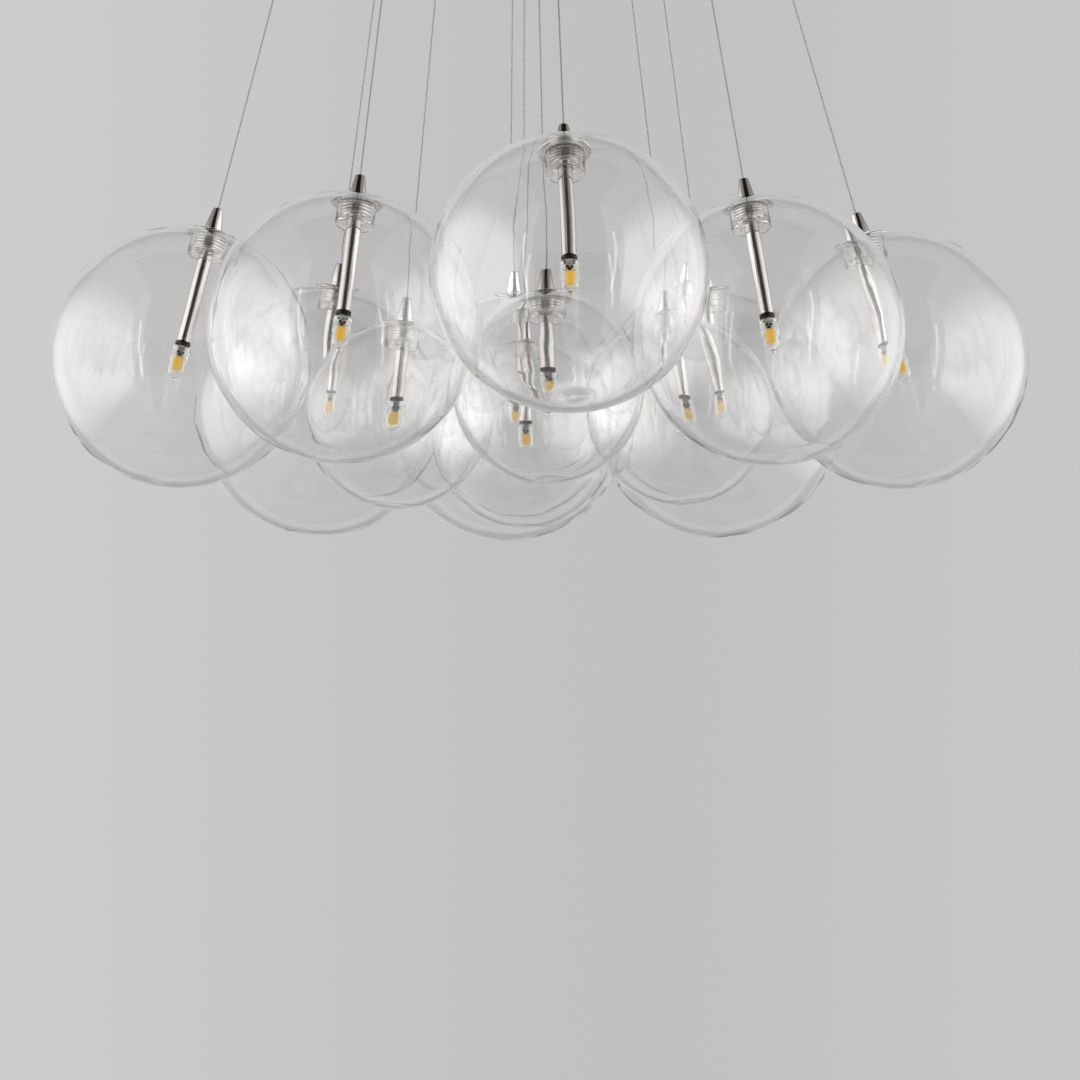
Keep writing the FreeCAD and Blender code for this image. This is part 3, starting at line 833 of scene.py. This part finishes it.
def backdrop_world(scene):
    """Grey all round, darkest behind the middle; diffuse surfaces get a plain level of light."""
    world = bpy.data.worlds.new("studio")
    scene.world = world
    world.use_nodes = True
    world.cycles.sampling_method = "NONE"
    tree = world.node_tree
    finish = sizes("finish")
    across = add_node(tree, "ShaderNodeSeparateXYZ",
                      {0: add_node(tree, "ShaderNodeTexCoord").outputs["Generated"]})
    spread = add_node(tree, "ShaderNodeMapRange", {"Value": across.outputs["X"]},
                      {"From Min": -BACKDROP_SPREAD, "From Max": BACKDROP_SPREAD})
    ramp = add_node(tree, "ShaderNodeValToRGB", {"Fac": spread.outputs[0]})
    ramp.color_ramp.interpolation = "B_SPLINE"
    ramp.color_ramp.elements.new(BACKDROP_MIDDLE)
    for stop, grey in zip(ramp.color_ramp.elements, (finish.backdrop_left, finish.backdrop,
                                                     finish.backdrop_right)):
        stop.color = (*grey, 1)
    path = add_node(tree, "ShaderNodeLightPath")
    level = add_node(tree, "ShaderNodeMapRange", {"Value": path.outputs["Diffuse Depth"]},
                     {"To Min": 1.0, "To Max": sizes("stage").plain_level})
    background = tree.nodes["Background"]
    tree.links.new(ramp.outputs[0], background.inputs["Color"])
    tree.links.new(level.outputs[0], background.inputs["Strength"])


def stage_object(name, bm, place, turn, material):
    mesh = bpy.data.meshes.new(name)
    bm.to_mesh(mesh)
    bm.free()
    mesh.materials.append(material)
    thing = bpy.data.objects.new(name, mesh)
    bpy.context.scene.collection.objects.link(thing)
    thing.location = place
    thing.rotation_euler = turn


def stage_plane(name, size, place, turn, material):
    bm = bmesh.new()
    bmesh.ops.create_grid(bm, x_segments=1, y_segments=1, size=0.5,
                          matrix=Matrix.Diagonal((*size, 1, 1)))
    stage_object(name, bm, place, turn, material)


def stage_room():
    """Pale ceiling and sides round the object, and an unlit strip up the front and overhead."""
    finish = sizes("finish")
    bm = bmesh.new()
    bmesh.ops.create_cube(bm, size=1, matrix=Matrix.Diagonal((*ROOM_SIZE, 1)))
    open_sides = [f for f in bm.faces if abs(f.normal.y) > 0.5 or f.normal.z < -0.5]
    bmesh.ops.delete(bm, geom=open_sides, context="FACES")
    stage_object("studio_room", bm, ROOM_PLACE, (0, 0, 0), plain_wall("pale_wall", finish.dim))
    bm = bmesh.new()
    line = ((UNLIT_FRONT, TABLE_HEIGHT), (UNLIT_FRONT, UNLIT_TOP), (UNLIT_BACK, UNLIT_TOP))
    left, right = ([bm.verts.new((x, y, z)) for y, z in line]
                   for x in (-UNLIT_HALF_WIDTH, UNLIT_HALF_WIDTH))
    for i in (0, 1):
        bm.faces.new((left[i], right[i], right[i + 1], left[i + 1]))
    stage_object("unlit_strip", bm, (0, 0, 0), (0, 0, 0), plain_wall("unlit_wall", finish.dark))
    stage_plane("pale_table", TABLE_SIZE, (0, 0, TABLE_HEIGHT), (0, 0, 0),
                plain_wall("pale_table", finish.table))


class PENDANT_OT_stage(bpy.types.Operator):
    """Pale studio, its lights and the camera"""
    bl_idname = "pendant.stage"
    bl_label = "Stage"

    def execute(self, context):
        s = sizes("stage")
        scene = context.scene
        data = bpy.data.cameras.new("camera")
        data.lens = s.lens
        data.sensor_width = 36
        camera = bpy.data.objects.new("camera", data)
        scene.collection.objects.link(camera)
        camera.location = s.camera_place
        camera.rotation_euler = (math.pi / 2 + s.camera_pitch, 0, 0)
        scene.camera = camera

        backdrop_world(scene)
        paint, _, _ = new_material("studio_floor", sizes("finish").floor, roughness=0.9)
        stage_plane("floor", (FLOOR_WIDTH, FLOOR_WIDTH), (0, 0, s.floor), (0, 0, 0), paint)
        stage_room()
        for side, name in ((-1, "left"), (1, "right")):
            stage_plane(f"softbox_{name}", SOFTBOX_SIZE, (side * SOFTBOX_X, SOFTBOX_Y, SOFTBOX_Z),
                        (math.pi / 2, 0, -side * math.pi / 2),
                        softbox_cloth(f"softbox_cloth_{name}", side))
            stage_plane(f"strip_light_{name}", STRIP_SIZE, (side * STRIP_X, STRIP_Y, STRIP_Z),
                        (math.pi / 2, 0, side * STRIP_TURN),
                        plain_wall(f"strip_cloth_{name}", (1, 1, 1), s.strip_shine))
        scene.view_settings.view_transform = "Standard"
        scene.cycles.max_bounces = 40
        scene.cycles.transmission_bounces = 40
        scene.cycles.glossy_bounces = 12
        return {"FINISHED"}


# ---------------------------------------------------------------- add-on

class PENDANT_PT_panel(bpy.types.Panel):
    bl_label = "Cluster pendant"
    bl_idname = "PENDANT_PT_panel"
    bl_space_type = "VIEW_3D"
    bl_region_type = "UI"
    bl_category = "Pendant"

    def draw(self, context):
        for operator in OPERATORS:
            self.layout.operator(operator.bl_idname)


GROUPS = {
    "globe": GlobeSizes,
    "stem": StemSizes,
    "lamp": LampSizes,
    "cable": CableSizes,
    "finish": Finishes,
    "stage": StageSettings,
}
OPERATORS = [
    PENDANT_OT_stage,
    PENDANT_OT_cables,
    PENDANT_OT_globes,
    PENDANT_OT_stems,
    PENDANT_OT_lamps,
    PENDANT_OT_canopy,
]


def register():
    for cls in [*GROUPS.values(), *OPERATORS, PENDANT_PT_panel]:
        bpy.utils.register_class(cls)
    for name, group in GROUPS.items():
        setattr(bpy.types.Scene, "pendant_" + name, PointerProperty(type=group))


def unregister():
    for name in GROUPS:
        delattr(bpy.types.Scene, "pendant_" + name)
    for cls in [PENDANT_PT_panel, *reversed(OPERATORS), *reversed(GROUPS.values())]:
        bpy.utils.unregister_class(cls)


def main():
    register()
    for operator in OPERATORS:
        module, name = operator.bl_idname.split(".")
        getattr(getattr(bpy.ops, module), name)()


if __name__ == "__main__":
    main()
